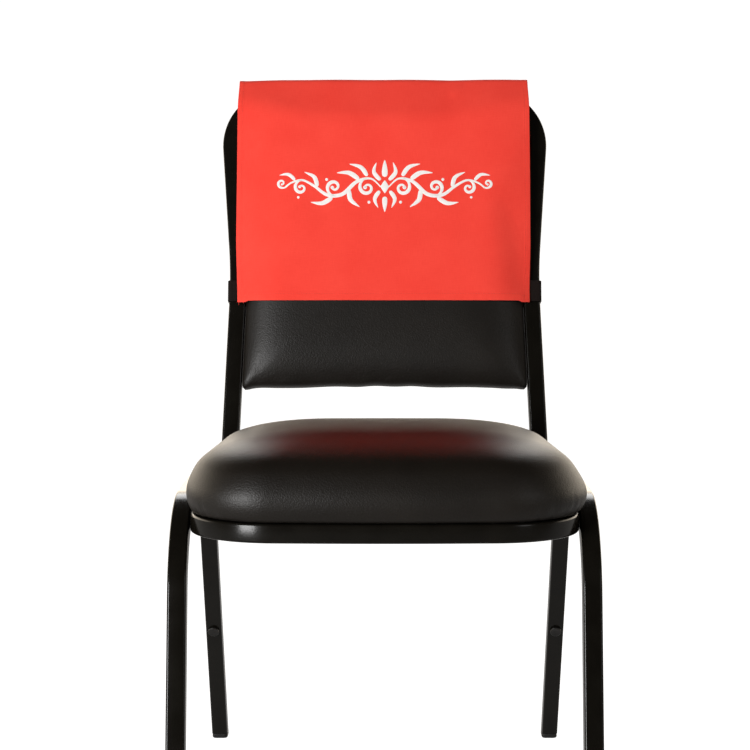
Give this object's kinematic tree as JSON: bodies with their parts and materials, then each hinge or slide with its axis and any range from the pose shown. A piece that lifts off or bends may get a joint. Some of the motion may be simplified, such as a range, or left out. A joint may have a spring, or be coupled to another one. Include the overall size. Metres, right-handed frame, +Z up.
{
  "type": "chair back cover on a stacking chair",
  "caption": "Red cloth cover folded over the back of a plain black stacking chair, open at the sides and held at the bottom by elastic straps round the uprights.",
  "frame": {"origin": "on the floor, in the middle of the chair's width and depth", "axes": "+Z up, -Y towards the front of the chair, +X to the right as seen from the front"},
  "size_m": [0.45, 0.603, 0.8454],
  "materials": {
    "cover_cloth": "bright red polyester, plain weave, matt with a slight sheen",
    "elastic": "black woven elastic band, 25.4 mm wide",
    "frame_enamel": "glossy black baked enamel on square steel tube",
    "pad_vinyl": "black vinyl with a fine grain, satin",
    "foot_plastic": "moulded black plastic",
    "button_plastic": "moulded black plastic, satin"
  },
  "bodies": {
    "root": {"cover": "cover_cloth", "strap_left": "elastic", "strap_right": "elastic", "back_and_seat_tube": "frame_enamel", "leg_frame_left": "frame_enamel", "leg_frame_right": "frame_enamel", "back_pad": "pad_vinyl", "seat_cushion": "pad_vinyl", "foot_front_left": "foot_plastic", "foot_front_right": "foot_plastic", "foot_rear_left": "foot_plastic", "foot_rear_right": "foot_plastic", "button_left": "button_plastic", "button_right": "button_plastic"}
  },
  "joints": []
}
